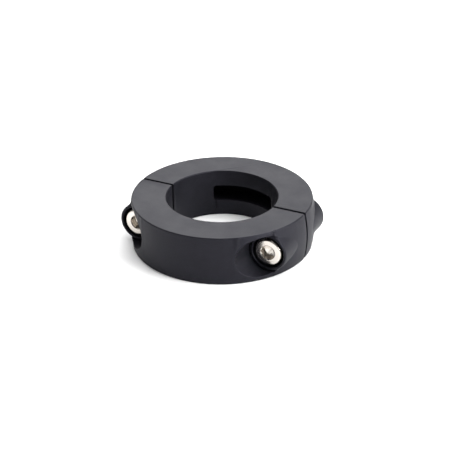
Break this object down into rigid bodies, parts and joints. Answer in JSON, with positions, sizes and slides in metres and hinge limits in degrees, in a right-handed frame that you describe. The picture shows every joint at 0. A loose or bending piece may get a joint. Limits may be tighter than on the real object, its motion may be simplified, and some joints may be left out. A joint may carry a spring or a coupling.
{
  "type": "shaft collar",
  "caption": "Two-piece clamping shaft collar in moulded plastic, split across the bore and drawn together by socket head cap screws in side bosses.",
  "frame": {"origin": "on the shaft axis at the lower flat face", "axes": "+Z along the shaft axis, +X along the split line towards the right screw, +Y from the half with the screw heads to the half with the nuts"},
  "size_m": [0.0668, 0.065, 0.018],
  "materials": {
    "moulded_plastic": "fine matte moulded grain",
    "stainless_screw": "bright cold-headed",
    "stainless_washer": "stamped and tumbled",
    "stainless_nut": "bright"
  },
  "bodies": {
    "rear_body": {"rear_half": "moulded_plastic", "hex_nut_right": "stainless_nut", "hex_nut_left": "stainless_nut"},
    "front_body": {"front_half": "moulded_plastic"},
    "washer_right_body": {"washer_right": "stainless_washer"},
    "washer_left_body": {"washer_left": "stainless_washer"},
    "screw_right_body": {"cap_screw_right": "stainless_screw"},
    "screw_left_body": {"cap_screw_left": "stainless_screw"}
  },
  "joints": [
    {"name": "front_half_slide", "type": "slide", "parent": "rear_body", "child": "front_body", "axis": [0, -1, 0], "range_m": [-0.0009, 0.045]},
    {"name": "screw_right_advance", "type": "slide", "parent": "front_body", "child": "washer_right_body", "axis": [0, -1, 0], "range_m": [0, 0.0151]},
    {"name": "screw_left_advance", "type": "slide", "parent": "front_body", "child": "washer_left_body", "axis": [0, -1, 0], "range_m": [0, 0.0151]},
    {"name": "screw_right_turn", "type": "hinge", "parent": "washer_right_body", "child": "screw_right_body", "pos_m": [0.0258, -0.0164, 0.009], "axis": [0, -1, 0], "range_deg": [0, 5400]},
    {"name": "screw_left_turn", "type": "hinge", "parent": "washer_left_body", "child": "screw_left_body", "pos_m": [-0.0258, -0.0164, 0.009], "axis": [0, -1, 0], "range_deg": [0, 5400]}
  ],
  "couplings": [
    {"joint": "screw_right_advance", "follows": "screw_right_turn", "m_per_rad": 0.00015915},
    {"joint": "screw_left_advance", "follows": "screw_left_turn", "m_per_rad": 0.00015915}
  ]
}
